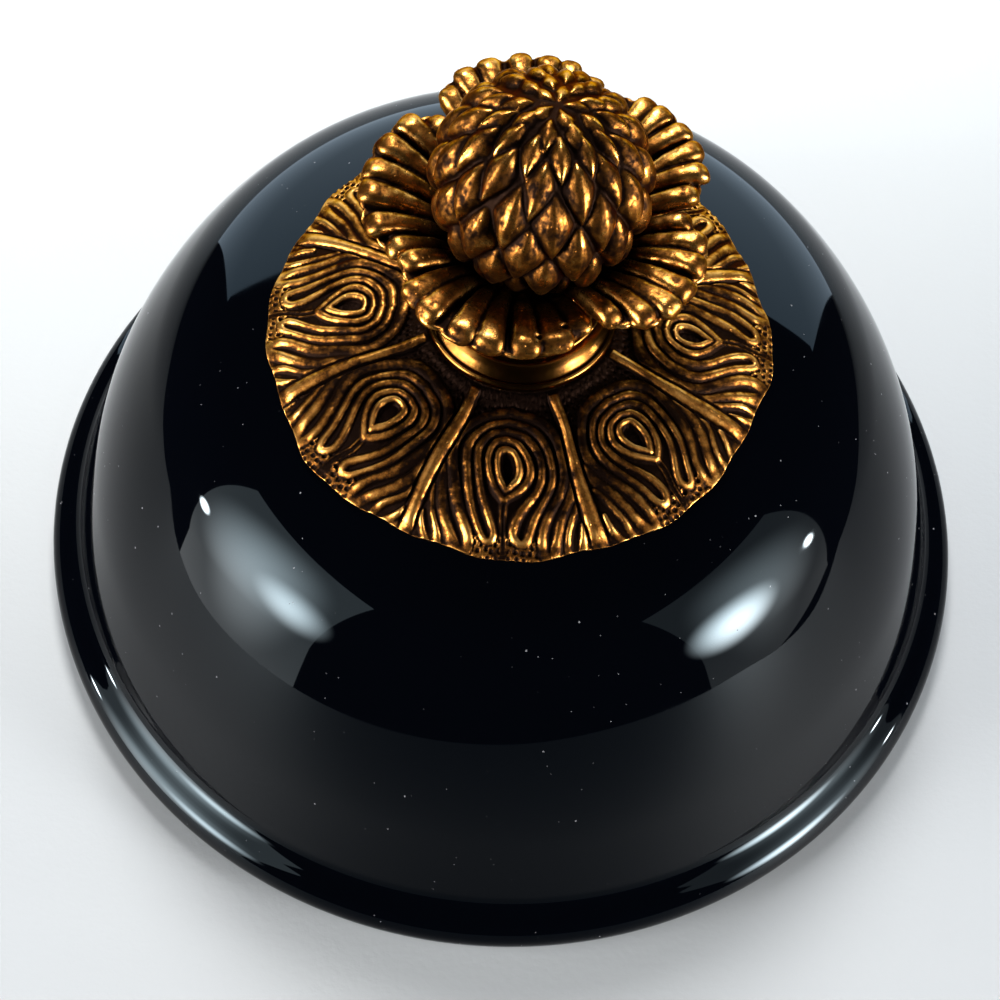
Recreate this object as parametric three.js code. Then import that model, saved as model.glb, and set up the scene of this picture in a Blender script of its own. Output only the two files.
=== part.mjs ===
// Domed lid of black glass with a gilt-bronze finial: rosette, collar, calyx of five petals and a scaled bud,
// drawn down on the glass by a threaded rod with a nut inside the dome.
// Millimetres, +Z up, origin at the middle of the rim's underside.
import * as THREE from 'three';
import { mergeVertices } from 'three/addons/utils/BufferGeometryUtils.js';

const DEGREE = Math.PI / 180;
const JOINT_GAP = 0.3; // clearance left between two pieces that touch
const MERGE_DISTANCE = 1e-5;

// Black glass dome. Angles are the elevation of the outward normal: 90 at the crown, 0 on a vertical wall.
const CROWN_RADIUS = 133;
const CROWN_END_ANGLE = 68.9;
const SHOULDER_RADIUS = 24.3;
const SHOULDER_END_ANGLE = 30.9;
const SIDE_RADIUS = 95;
const SIDE_END_ANGLE = 12.4;
const SIDE_STRAIGHT = 14.7;
const NECK_RADIUS = 4.3; // hollow between the wall and the rim
const RIM_TOP_ANGLE = 62.4;
const RIM_FLAT = 1.2;
const RIM_RADIUS = 4.3; // rolled outer edge
const ARC_STEPS = { crown: 5, shoulder: 5, side: 3, neck: 3, rim: 7 };
const GLASS_WALL = 4;
const FOOT_INNER_RADIUS = 71;
const FOOT_INNER_CORNER = 0.8;
const CROWN_HOLE_RADIUS = 4.6;
const SHELL_SEGMENTS = 56;

// Rosette and the pad under it
const MOTIF_COUNT = 8;
const ROSETTE_RADIUS = 40.8;
const ROSETTE_HOLE_RADIUS = 4.2;
const ROSETTE_THICKNESS = 2.1;
const ROSETTE_EDGE_THICKNESS = 1.3;
const ROSETTE_RELIEF = 0.9; // height of ribs and motifs above the ground
const ROSETTE_SCALLOP = 0.7; // depth of the scallops in the outline
const ROSETTE_RIM_WIDTH = 3.4; // edge band that comes down on the glass round the pad
const MOTIF_CENTRE_RADIUS = 27.7;
const MOTIF_HALF_WIDTH = 7.5;
const MOTIF_HALF_LENGTH = 9;
const RIB_HALF_WIDTH = 1.8;
const RELIEF_RADII = [38, 34, MOTIF_CENTRE_RADIUS, 22, 18]; // rings that carry the relief
const PAD_THICKNESS = 0.5;
const PAD_EDGE_GAP = 1; // between the pad's edge and the wall of its recess
const PAD_RADII = [13, 21, 29]; // rings that make the pad and the recess above it follow the dome
const ROSETTE_SEGMENTS = 96;

// Collar
const COLLAR_BASE_RADIUS = 15.4;
const COLLAR_LIP_HEIGHT = 1;
const COLLAR_LIP_CORNER = 0.5;
const COLLAR_LIP_SETBACK = 0.3; // from the widest point of the lip to the foot of the hollow face
const COLLAR_TOP_RADIUS = 13.1;
const COLLAR_HEIGHT = 6.6;
const COLLAR_TOP_BEAD = 0.9;
const COLLAR_TOP_CORNER = 0.25;
const COLLAR_FACE_STEPS = 6;
const COLLAR_HOLLOW = 1.1; // how far the face dips behind a straight line from lip to top
const COLLAR_BORE_RADIUS = 4.2;
const TURNED_SEGMENTS = 40;

// Calyx: a cup and five petals, each with its own middle azimuth, half angle, reach and number of fingers
const PETALS = [
  { name: 'petal_front', azimuth: -106, halfAngle: 46, tipRadius: 26.8, fingers: 8 },
  { name: 'petal_right_front', azimuth: -27.5, halfAngle: 32.5, tipRadius: 28.9, fingers: 7 },
  { name: 'petal_right_back', azimuth: 35.5, halfAngle: 30.5, tipRadius: 28.9, fingers: 7 },
  { name: 'petal_back', azimuth: 98, halfAngle: 32, tipRadius: 27.8, fingers: 7 },
  { name: 'petal_left', azimuth: 169, halfAngle: 39, tipRadius: 26.2, fingers: 7 },
];
const CUP_FOOT_RADIUS = 12.3;
const CUP_BELLY_RADIUS = 13.6;
const CUP_SEAT_STEPS = 4; // of the sloping seat that the petals lie in
const CUP_BELLY_STEPS = 6;
const PETAL_ROOT_RADIUS = 8.6;
const PETAL_ROOT_Z = 93;
const PETAL_ROOT_SLOPE = 60;
const PETAL_ARC_RADIUS = 24.2; // of the middle line, which flattens from root to tip
const PETAL_THICKNESS = 1.8;
const PETAL_FINGER_HEIGHT = 1.0;
const PETAL_NOTCH = 0.9; // depth of the notch between two finger tips
const PETAL_CREST_START = 0.3; // share of the length where the fingers begin to rise, and where they are full
const PETAL_CREST_FULL = 0.8;
const PETAL_CORNER_DROP = 7; // how much shorter the outline is at a petal's corners
const PETAL_SIDE_GAP = 0.5; // between neighbouring petals
const PETAL_COLUMNS_PER_FINGER = 4;
const PETAL_ROWS = 6;

// Bud
const BUD_RADIUS = 16.2;
const BUD_HALF_HEIGHT = 17;
const BUD_CENTRE_Z = 112.6;
const BUD_LEAN = 5; // degrees towards +X, about the seat on the petals
const BUD_LEAN_Z = 97;
const BUD_SCALE_RELIEF = 0.8;
const BUD_SCALE_COLUMNS = 16;
const BUD_SCALE_ROWS = 8;
const BUD_SKIN_ROWS = 16;
const BUD_BORE_RADIUS = 3.4;
const BUD_BORE_DEPTH = 14;
const BUD_SEGMENTS = 48;
const BUD_FLAT_ANGLE = -62; // below this elevation the underside is flat

// Rod and the fastening inside the dome
const HIDDEN_SEGMENTS = 24;
const ROD_RADIUS = 3;
const ROD_BELOW_NUT = 4;
const INNER_PAD_RADIUS = 15;
const INNER_PAD_THICKNESS = 1.6;
const INNER_WASHER_RADIUS = 13;
const INNER_WASHER_THICKNESS = 1.8;
const INNER_WASHER_CHAMFER = 0.4;
const FASTENER_BORE_RADIUS = 3.4;
const NUT_ACROSS_FLATS = 12;
const NUT_HEIGHT = 6;
const NUT_CHAMFER = 0.5;

const blackGlass = () => new THREE.MeshStandardMaterial({ color: 0x060709, roughness: 0.06, metalness: 0 });
const antiqueGilt = () => new THREE.MeshStandardMaterial({ color: 0x9a6a24, roughness: 0.38, metalness: 1 });
const brightGilt = () => new THREE.MeshStandardMaterial({ color: 0xc98a22, roughness: 0.24, metalness: 1 });
const brass = () => new THREE.MeshStandardMaterial({ color: 0xb08d4a, roughness: 0.45, metalness: 1 });
const leather = () => new THREE.MeshStandardMaterial({ color: 0x5b3d26, roughness: 0.8, metalness: 0 });
const felt = () => new THREE.MeshStandardMaterial({ color: 0x2b2a28, roughness: 0.95, metalness: 0 });

// A line that is drawn on in the (radius, z) plane. Its heading follows from the elevation of its normal.
function profilePen(radius, z, angle) {
  const points = [new THREE.Vector2(radius, z)];
  const last = () => points[points.length - 1];
  let normal = angle;
  const arc = (size, side, toAngle, steps) => {
    const start = last();
    const from = normal;
    for (let step = 1; step <= steps; step += 1) {
      const now = from + ((toAngle - from) * step) / steps;
      const dr = Math.cos(now * DEGREE) - Math.cos(from * DEGREE);
      const dz = Math.sin(now * DEGREE) - Math.sin(from * DEGREE);
      points.push(new THREE.Vector2(start.x + side * size * dr, start.y + side * size * dz));
    }
    normal = toAngle;
  };
  return {
    points,
    convex: (size, toAngle, steps) => arc(size, 1, toAngle, steps),
    concave: (size, toAngle, steps) => arc(size, -1, toAngle, steps),
    straight: (length) => {
      const dr = Math.sin(normal * DEGREE) * length;
      const dz = -Math.cos(normal * DEGREE) * length;
      points.push(new THREE.Vector2(last().x + dr, last().y + dz));
    },
  };
}

// The domed surface, or one at an even depth below it, from the axis down to the neck
function domeSurface(depth, crownZ) {
  const pen = profilePen(0, crownZ - depth, 90);
  pen.convex(CROWN_RADIUS - depth, CROWN_END_ANGLE, ARC_STEPS.crown);
  pen.convex(SHOULDER_RADIUS - depth, SHOULDER_END_ANGLE, ARC_STEPS.shoulder);
  pen.convex(SIDE_RADIUS - depth, SIDE_END_ANGLE, ARC_STEPS.side);
  pen.straight(SIDE_STRAIGHT);
  return pen;
}

function outerSurface(crownZ) {
  const pen = domeSurface(0, crownZ);
  pen.concave(NECK_RADIUS, RIM_TOP_ANGLE, ARC_STEPS.neck);
  pen.straight(RIM_FLAT);
  pen.convex(RIM_RADIUS, -90, ARC_STEPS.rim);
  return pen.points;
}

const footDrop = outerSurface(0).at(-1).y;
const CROWN_Z = -footDrop; // height of the crown when the foot stands at z = 0

// Height of a spherical surface through the crown: the glass, or a layer above or below it
function crownHeight(radius, offset) {
  const size = CROWN_RADIUS + offset;
  return CROWN_Z - CROWN_RADIUS + Math.sqrt(size * size - radius * radius);
}

// A body of revolution about Z from a closed outline of [radius, z] points, counter-clockwise.
// shape(point, azimuth, index) may move each vertex.
function turned(outline, segments, shape) {
  const closed = [...outline, outline[0]];
  const profile = closed.map(([radius, z]) => new THREE.Vector2(radius, z));
  const geometry = new THREE.LatheGeometry(profile, segments);
  geometry.deleteAttribute('normal');
  geometry.deleteAttribute('uv');
  const position = geometry.getAttribute('position');
  const point = new THREE.Vector3();
  for (let index = 0; index < position.count; index += 1) {
    const row = index % closed.length;
    const column = Math.floor(index / closed.length) % segments;
    const [radius, z] = closed[row];
    const azimuth = (column / segments) * 2 * Math.PI;
    const moved = shape ? shape(radius, z, azimuth, row % outline.length) : [radius, z];
    point.set(moved[0] * Math.cos(azimuth), moved[0] * Math.sin(azimuth), moved[1]);
    position.setXYZ(index, point.x, point.y, point.z);
  }
  return mergeVertices(geometry, MERGE_DISTANCE);
}

// A closed slab between an upper and a lower sheet over the same (u, v) square
function slab(columns, rows, upper, lower) {
  const vertices = [];
  const faces = [];
  const across = columns + 1;
  const sheetSize = across * (rows + 1);
  [upper, lower].forEach((sheet) => {
    for (let row = 0; row <= rows; row += 1) {
      for (let column = 0; column <= columns; column += 1) {
        vertices.push(...sheet(column / columns, row / rows));
      }
    }
  });
  const quad = (a, b, c, d) => faces.push(a, c, b, a, d, c);
  for (let row = 0; row < rows; row += 1) {
    for (let column = 0; column < columns; column += 1) {
      const a = row * across + column;
      quad(a, a + 1, a + across + 1, a + across);
      quad(sheetSize + a, sheetSize + a + across, sheetSize + a + across + 1, sheetSize + a + 1);
    }
    const left = row * across;
    const right = left + columns;
    quad(left, left + across, sheetSize + left + across, sheetSize + left);
    quad(right + across, right, sheetSize + right, sheetSize + right + across);
  }
  const lastRow = rows * across;
  for (let column = 0; column < columns; column += 1) {
    quad(column + 1, column, sheetSize + column, sheetSize + column + 1);
    const top = lastRow + column;
    quad(top, top + 1, sheetSize + top + 1, sheetSize + top);
  }
  const geometry = new THREE.BufferGeometry();
  geometry.setAttribute('position', new THREE.Float32BufferAttribute(vertices, 3));
  geometry.setIndex(faces);
  return geometry;
}

// Dome, rim, foot and inside as one wall, with the hole through the crown
function lidShell() {
  const pastHole = (points) => points
    .filter((point) => point.x > CROWN_HOLE_RADIUS)
    .map((point) => [point.x, point.y]);
  const outer = pastHole(outerSurface(CROWN_Z));
  const insideWall = pastHole(domeSurface(GLASS_WALL, CROWN_Z).points);
  const wallFoot = insideWall.pop();
  const outline = [
    [CROWN_HOLE_RADIUS, crownHeight(CROWN_HOLE_RADIUS, 0)],
    ...outer,
    [FOOT_INNER_RADIUS + FOOT_INNER_CORNER, 0],
    [FOOT_INNER_RADIUS, FOOT_INNER_CORNER],
    [FOOT_INNER_RADIUS, wallFoot[1]],
    ...insideWall.reverse(),
    [CROWN_HOLE_RADIUS, crownHeight(CROWN_HOLE_RADIUS, -GLASS_WALL)],
  ];
  return turned(outline.reverse(), SHELL_SEGMENTS);
}

// How far a direction is from the nearest motif's middle, in degrees
function fromMotif(azimuth) {
  const pitch = 360 / MOTIF_COUNT;
  const turn = azimuth / DEGREE + pitch / 2;
  return turn - pitch * Math.floor(turn / pitch) - pitch / 2;
}

// Relief of the rosette: a rib between every two motifs, and each motif a low oval boss
function rosetteRelief(radius, azimuth) {
  const offset = fromMotif(azimuth);
  const ribDistance = (360 / MOTIF_COUNT / 2 - Math.abs(offset)) * DEGREE * radius;
  const rib = Math.max(0, 1 - (ribDistance / RIB_HALF_WIDTH) ** 2);
  const across = (offset * DEGREE * radius) / MOTIF_HALF_WIDTH;
  const along = (radius - MOTIF_CENTRE_RADIUS) / MOTIF_HALF_LENGTH;
  const boss = Math.sqrt(Math.max(0, 1 - across * across - along * along));
  return ROSETTE_RELIEF * Math.max(rib, boss);
}

function rosette() {
  const edgeRadius = (azimuth) => {
    const scallop = (1 + Math.cos(3 * MOTIF_COUNT * azimuth)) / 2;
    return ROSETTE_RADIUS - ROSETTE_SCALLOP * scallop;
  };
  const recessRadius = ROSETTE_RADIUS - ROSETTE_RIM_WIDTH;
  const recessDepth = PAD_THICKNESS + 2 * JOINT_GAP;
  const topOffset = ROSETTE_THICKNESS + JOINT_GAP;
  const recessRadii = [ROSETTE_HOLE_RADIUS, ...PAD_RADII, recessRadius];
  const outline = [
    ...recessRadii.map((radius) => [radius, crownHeight(radius, recessDepth)]),
    [recessRadius, crownHeight(recessRadius, JOINT_GAP)],
    [ROSETTE_RADIUS, crownHeight(ROSETTE_RADIUS, JOINT_GAP)],
    [ROSETTE_RADIUS, crownHeight(ROSETTE_RADIUS, ROSETTE_EDGE_THICKNESS)],
  ];
  const edgeRows = [outline.length - 2, outline.length - 1];
  RELIEF_RADII.forEach((radius) => outline.push([radius, crownHeight(radius, topOffset)]));
  const firstReliefRow = edgeRows[1] + 1;
  outline.push([COLLAR_BASE_RADIUS, crownHeight(0, topOffset)]);
  outline.push([ROSETTE_HOLE_RADIUS, crownHeight(0, topOffset)]);
  const lastReliefRow = firstReliefRow + RELIEF_RADII.length - 1;
  return turned(outline, ROSETTE_SEGMENTS, (radius, z, azimuth, row) => {
    if (edgeRows.includes(row)) {
      const edge = edgeRadius(azimuth);
      return [edge, z + crownHeight(edge, 0) - crownHeight(radius, 0)];
    }
    const raised = row >= firstReliefRow && row <= lastReliefRow;
    return [radius, z + (raised ? rosetteRelief(radius, azimuth) : 0)];
  });
}

function rosettePad() {
  const outerRadius = ROSETTE_RADIUS - ROSETTE_RIM_WIDTH - PAD_EDGE_GAP;
  const low = (radius) => [radius, crownHeight(radius, JOINT_GAP)];
  const high = (radius) => [radius, crownHeight(radius, JOINT_GAP + PAD_THICKNESS)];
  const radii = [CROWN_HOLE_RADIUS, ...PAD_RADII, outerRadius];
  return turned([...radii.map(low), ...radii.map(high).reverse()], HIDDEN_SEGMENTS);
}

const COLLAR_Z = crownHeight(0, ROSETTE_THICKNESS + 2 * JOINT_GAP);

function collar() {
  const faceFoot = COLLAR_BASE_RADIUS - COLLAR_LIP_SETBACK;
  const outline = [
    [COLLAR_BORE_RADIUS, COLLAR_Z],
    [COLLAR_BASE_RADIUS - COLLAR_LIP_CORNER, COLLAR_Z],
    [COLLAR_BASE_RADIUS, COLLAR_Z + COLLAR_LIP_HEIGHT / 2],
    [faceFoot, COLLAR_Z + COLLAR_LIP_HEIGHT],
  ];
  const faceTop = COLLAR_HEIGHT - COLLAR_TOP_BEAD;
  for (let step = 1; step < COLLAR_FACE_STEPS; step += 1) {
    const along = step / COLLAR_FACE_STEPS;
    const straight = faceFoot + (COLLAR_TOP_RADIUS - COLLAR_BASE_RADIUS) * along;
    const radius = straight - COLLAR_HOLLOW * Math.sin(Math.PI * along);
    outline.push([radius, COLLAR_Z + COLLAR_LIP_HEIGHT + (faceTop - COLLAR_LIP_HEIGHT) * along]);
  }
  outline.push([COLLAR_TOP_RADIUS, COLLAR_Z + faceTop]);
  outline.push([COLLAR_TOP_RADIUS, COLLAR_Z + COLLAR_HEIGHT - COLLAR_TOP_CORNER]);
  outline.push([COLLAR_TOP_RADIUS - COLLAR_TOP_CORNER, COLLAR_Z + COLLAR_HEIGHT]);
  outline.push([COLLAR_BORE_RADIUS, COLLAR_Z + COLLAR_HEIGHT]);
  return turned(outline, TURNED_SEGMENTS);
}

const CUP_Z = COLLAR_Z + COLLAR_HEIGHT + JOINT_GAP;

// Height and slope of the petals' middle line
function petalMiddle(radius) {
  const sine = Math.sin(PETAL_ROOT_SLOPE * DEGREE) - (radius - PETAL_ROOT_RADIUS) / PETAL_ARC_RADIUS;
  const slope = Math.asin(sine);
  const z = PETAL_ROOT_Z + PETAL_ARC_RADIUS * (Math.cos(slope) - Math.cos(PETAL_ROOT_SLOPE * DEGREE));
  return { z, slope };
}

function calyxCup() {
  const seat = (radius) => {
    const middle = petalMiddle(radius);
    return [radius, middle.z - (PETAL_THICKNESS / 2 + JOINT_GAP) / Math.cos(middle.slope)];
  };
  const top = seat(CUP_BELLY_RADIUS);
  const outline = [[FASTENER_BORE_RADIUS, CUP_Z]];
  for (let step = 0; step < CUP_BELLY_STEPS; step += 1) {
    const along = step / CUP_BELLY_STEPS;
    const swell = (CUP_BELLY_RADIUS - CUP_FOOT_RADIUS) * Math.sin((Math.PI / 2) * along);
    outline.push([CUP_FOOT_RADIUS + swell, CUP_Z + (top[1] - CUP_Z) * along]);
  }
  for (let step = 0; step <= CUP_SEAT_STEPS; step += 1) {
    outline.push(seat(CUP_BELLY_RADIUS + ((PETAL_ROOT_RADIUS - CUP_BELLY_RADIUS) * step) / CUP_SEAT_STEPS));
  }
  outline.push([FASTENER_BORE_RADIUS, seat(PETAL_ROOT_RADIUS)[1]]);
  return turned(outline, TURNED_SEGMENTS);
}

// A fan of rounded fingers about +X. It keeps a little off its neighbours at the sides.
function petal({ halfAngle, tipRadius, fingers }) {
  const sheet = (side) => (u, v) => {
    const fan = 2 * u - 1;
    const finger = Math.abs(Math.sin(Math.PI * fingers * u));
    const outlineRadius = tipRadius - PETAL_CORNER_DROP * Math.abs(fan) ** 3 - PETAL_NOTCH * (1 - finger);
    const radius = PETAL_ROOT_RADIUS + (outlineRadius - PETAL_ROOT_RADIUS) * v;
    const azimuth = fan * (halfAngle * DEGREE - PETAL_SIDE_GAP / radius);
    const middle = petalMiddle(radius);
    const rise = (v - PETAL_CREST_START) / (PETAL_CREST_FULL - PETAL_CREST_START);
    const crest = side > 0 ? PETAL_FINGER_HEIGHT * finger * Math.min(1, Math.max(0, rise)) : 0;
    const lift = side * (PETAL_THICKNESS / 2) + crest;
    const out = radius - lift * Math.sin(middle.slope);
    return [out * Math.cos(azimuth), out * Math.sin(azimuth), middle.z + lift * Math.cos(middle.slope)];
  };
  return slab(fingers * PETAL_COLUMNS_PER_FINGER, PETAL_ROWS, sheet(1), sheet(-1));
}

const BUD_FLAT_Z = BUD_CENTRE_Z + BUD_HALF_HEIGHT * Math.sin(BUD_FLAT_ANGLE * DEGREE);

// An egg-shaped bud with leaf-like scales in rows that are set half a scale over from one row to the next
function bud() {
  const boreTop = BUD_FLAT_Z + BUD_BORE_DEPTH;
  const outline = [
    [0, boreTop],
    [BUD_BORE_RADIUS, boreTop],
    [BUD_BORE_RADIUS, BUD_FLAT_Z],
  ];
  const firstSkinRow = outline.length;
  for (let row = 0; row <= BUD_SKIN_ROWS; row += 1) {
    const elevation = (BUD_FLAT_ANGLE + ((90 - BUD_FLAT_ANGLE) * row) / BUD_SKIN_ROWS) * DEGREE;
    outline.push([BUD_RADIUS * Math.cos(elevation), BUD_CENTRE_Z + BUD_HALF_HEIGHT * Math.sin(elevation)]);
  }
  outline.at(-1)[0] = 0;
  return turned(outline, BUD_SEGMENTS, (radius, z, azimuth, row) => {
    const skinRow = row - firstSkinRow;
    if (skinRow < 1 || skinRow >= BUD_SKIN_ROWS) return [radius, z];
    const tier = (skinRow / BUD_SKIN_ROWS) * BUD_SCALE_ROWS * Math.PI;
    const across = (azimuth / 2) * BUD_SCALE_COLUMNS;
    const scale = Math.abs(Math.cos(across) * Math.sin(tier)) + Math.abs(Math.sin(across) * Math.cos(tier));
    const fade = Math.min(1, radius / (BUD_RADIUS / 2));
    const raised = 1 + ((scale - 1 / 2) * BUD_SCALE_RELIEF * fade) / BUD_RADIUS;
    return [radius * raised, BUD_CENTRE_Z + (z - BUD_CENTRE_Z) * raised];
  });
}

const innerPadTop = (radius) => crownHeight(radius, -GLASS_WALL - JOINT_GAP);
const innerPadFoot = innerPadTop(INNER_PAD_RADIUS) - INNER_PAD_THICKNESS;
const washerTop = innerPadFoot - JOINT_GAP;
const nutTop = washerTop - INNER_WASHER_THICKNESS - JOINT_GAP;

function innerPad() {
  return turned([
    [FASTENER_BORE_RADIUS, innerPadFoot],
    [INNER_PAD_RADIUS, innerPadFoot],
    [INNER_PAD_RADIUS, innerPadTop(INNER_PAD_RADIUS)],
    [INNER_PAD_RADIUS / 2, innerPadTop(INNER_PAD_RADIUS / 2)],
    [FASTENER_BORE_RADIUS, innerPadTop(FASTENER_BORE_RADIUS)],
  ], HIDDEN_SEGMENTS);
}

function innerWasher() {
  const low = washerTop - INNER_WASHER_THICKNESS;
  return turned([
    [FASTENER_BORE_RADIUS, low],
    [INNER_WASHER_RADIUS - INNER_WASHER_CHAMFER, low],
    [INNER_WASHER_RADIUS, low + INNER_WASHER_CHAMFER],
    [INNER_WASHER_RADIUS, washerTop],
    [FASTENER_BORE_RADIUS, washerTop],
  ], HIDDEN_SEGMENTS);
}

function nut() {
  const hexagon = new THREE.Shape();
  const cornerRadius = NUT_ACROSS_FLATS / 2 / Math.cos(30 * DEGREE) - NUT_CHAMFER;
  for (let corner = 0; corner < 6; corner += 1) {
    const azimuth = corner * 60 * DEGREE;
    const place = [cornerRadius * Math.cos(azimuth), cornerRadius * Math.sin(azimuth)];
    if (corner === 0) hexagon.moveTo(...place);
    else hexagon.lineTo(...place);
  }
  hexagon.closePath();
  hexagon.holes.push(new THREE.Path().absarc(0, 0, FASTENER_BORE_RADIUS + NUT_CHAMFER, 0, 2 * Math.PI, true));
  const geometry = new THREE.ExtrudeGeometry(hexagon, {
    depth: NUT_HEIGHT - 2 * NUT_CHAMFER,
    bevelThickness: NUT_CHAMFER,
    bevelSize: NUT_CHAMFER,
    bevelSegments: 1,
    curveSegments: 12,
  });
  return geometry.translate(0, 0, nutTop - NUT_HEIGHT + NUT_CHAMFER);
}

// Straight rod up to the top of the calyx, then bent over with the bud
function tieRod() {
  const low = nutTop - NUT_HEIGHT - ROD_BELOW_NUT;
  const high = BUD_FLAT_Z + BUD_BORE_DEPTH - 2 * JOINT_GAP;
  const lean = Math.tan(BUD_LEAN * DEGREE);
  const outline = [
    [0, low],
    [ROD_RADIUS - NUT_CHAMFER, low],
    [ROD_RADIUS, low + NUT_CHAMFER],
    [ROD_RADIUS, BUD_LEAN_Z], // the bend
    [ROD_RADIUS, high - NUT_CHAMFER],
    [ROD_RADIUS - NUT_CHAMFER, high],
    [0, high],
  ];
  const geometry = turned(outline, HIDDEN_SEGMENTS);
  const position = geometry.getAttribute('position');
  for (let index = 0; index < position.count; index += 1) {
    const above = Math.max(0, position.getZ(index) - BUD_LEAN_Z);
    position.setX(index, position.getX(index) + above * lean);
  }
  return geometry;
}

const lid = new THREE.Group();

function piece(name, geometry, material, parent = lid) {
  const mesh = new THREE.Mesh(geometry, material);
  mesh.name = name;
  parent.add(mesh);
  return mesh;
}

piece('lid_shell', lidShell(), blackGlass());
piece('rosette_pad', rosettePad(), felt());
piece('rosette', rosette(), antiqueGilt());
piece('collar', collar(), brightGilt());
piece('calyx_cup', calyxCup(), brightGilt());

PETALS.forEach((spec) => {
  const mesh = piece(spec.name, petal(spec), antiqueGilt());
  mesh.rotation.z = spec.azimuth * DEGREE;
});

// The bud turns about the point where it sits in the calyx
const budSeat = new THREE.Group();
budSeat.position.z = BUD_LEAN_Z;
budSeat.rotation.y = BUD_LEAN * DEGREE;
lid.add(budSeat);
piece('bud', bud().translate(0, 0, -BUD_LEAN_Z), antiqueGilt(), budSeat);

piece('tie_rod', tieRod(), brass());
piece('inner_pad', innerPad(), leather());
piece('inner_washer', innerWasher(), brass());
piece('nut', nut(), brass());

export default lid;
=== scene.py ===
# Domed black lid with a gilt finial: the looks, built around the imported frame.
import math
import bmesh
import bpy
import numpy as np
from mathutils import Matrix, Vector


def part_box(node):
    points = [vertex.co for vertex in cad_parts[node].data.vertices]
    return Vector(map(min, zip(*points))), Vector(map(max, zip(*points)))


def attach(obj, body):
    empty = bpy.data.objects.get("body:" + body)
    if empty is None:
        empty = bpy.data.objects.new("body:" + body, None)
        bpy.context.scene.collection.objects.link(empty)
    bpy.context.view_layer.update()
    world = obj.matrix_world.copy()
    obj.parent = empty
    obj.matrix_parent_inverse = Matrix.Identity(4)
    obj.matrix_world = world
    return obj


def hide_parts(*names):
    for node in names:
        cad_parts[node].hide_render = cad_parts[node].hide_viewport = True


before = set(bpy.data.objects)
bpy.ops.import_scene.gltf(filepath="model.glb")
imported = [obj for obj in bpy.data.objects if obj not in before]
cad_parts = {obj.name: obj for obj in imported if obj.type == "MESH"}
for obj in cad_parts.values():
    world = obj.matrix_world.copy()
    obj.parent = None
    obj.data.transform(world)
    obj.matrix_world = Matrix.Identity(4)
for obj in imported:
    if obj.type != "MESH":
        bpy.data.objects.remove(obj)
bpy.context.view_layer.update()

MM = 0.001  # the shapes below are worked out in millimetres
SEED = 7

# Camera: metres, degrees and millimetres of focal length
CAMERA_PLACE = (0.0, -0.2802, 0.5133)
CAMERA_AIM = (-0.0009, 0.0, 0.0135)
CAMERA_ROLL = 4.74
CAMERA_LENS = 116.8

# Black glass dome: its arcs and the elevations of the outward normal where they end
CROWN_RADIUS = 133.0
SHOULDER_RADIUS = 24.3
SIDE_RADIUS = 95.0
CROWN_END = 68.9
SHOULDER_END = 30.9
SIDE_END = 12.4
RIM_TOP = 62.4
SIDE_STRAIGHT = 14.7
ROLL_RADIUS = 4.3  # of the hollow above the rim and of the rim's edge
RIM_FLAT = 1.2
GLASS_WALL = 4.0
GLASS_BEVEL = 0.3
CROWN_HOLE_RADIUS = 4.6
FOOT_INNER_RADIUS = 71.0
FOOT_ROUND = 0.8
SHELL_SEGMENTS = 288
PAD_GAP = 0.3  # from the glass to the felt and leather pads
FELT_TOP = 0.75  # of the felt pad, above the glass

# Rosette: radii, the height of its raised work, and the number of motifs and of ribs between them
MOTIFS = 8
MOTIF_CENTRE = 28.0
ROSETTE_RADIUS = 40.7
ROSETTE_HOLE = 4.2
ROSETTE_SEGMENTS = 1152
ROSETTE_ROW = 0.17  # distance between the rings of vertices
RELIEF = 1.2
RELIEF_START = 14.6
RIB_START = 15.3
RIB_END = 41.6
RIB_HALF_WIDTH = 0.8
STIPPLE_END = 22.5  # the ground inside this radius is punched all over
STIPPLE_PUNCH = (1.15, 0.42)  # pitch and size of the marks
MATTING_PUNCH = (1.1, 0.44)  # the same, beside the outer end of the stem
# its underside: radius and distance from the glass
ROSETTE_UNDERSIDE = [(ROSETTE_HOLE, 0.8), (13, 0.95), (21, 0.95), (29, 0.95), (37.4, 0.95), (37.5, 0.3),
                     (39.0, 0.3)]
# tops of the raised work: radius and height
ROSETTE_PROFILE = np.array([(4.0, 75.5), (15.4, 75.5), (22.0, 74.6), (27.7, 73.4), (34.0, 71.2), (38.0, 69.5),
                            (40.3, 68.3), (42.0, 67.5)])
# raised bands of one motif, right half: half width, then points across and out from the axis
BANDS = [
    (0.60, [(0, 24.9), (1.15, 25.4), (1.65, 27.0), (1.35, 29.0), (0.0, 31.0)]),
    (0.66, [(0, 23.4), (1.9, 24.1), (3.1, 26.2), (3.05, 28.3), (1.9, 30.5), (0.15, 32.3)]),
    (0.72, [(0, 21.9), (2.7, 22.7), (4.6, 24.9), (4.95, 27.6), (4.3, 30.5), (3.0, 33.2), (1.9, 35.6),
            (1.5, 37.4), (2.3, 38.5), (3.4, 37.9), (4.5, 35.2), (5.9, 31.6), (6.65, 28.8), (6.6, 26.2),
            (5.7, 23.5), (3.4, 21.2), (0, 20.3)]),
    (0.92, [(0, 18.6), (4.2, 19.5), (7.5, 22.4), (8.75, 26.3), (8.3, 30.2), (7.1, 33.6), (6.0, 36.6),
            (5.8, 38.9), (6.6, 40.1), (7.7, 39.6), (8.6, 36.9), (9.6, 33.0), (10.2, 30.0), (10.3, 27.0)]),
    (0.60, [(11.3, 30.5), (10.9, 34.0), (10.2, 37.2), (10.5, 39.6), (11.5, 39.7), (12.4, 37.4),
            (12.7, 34.5)]),
]
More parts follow.
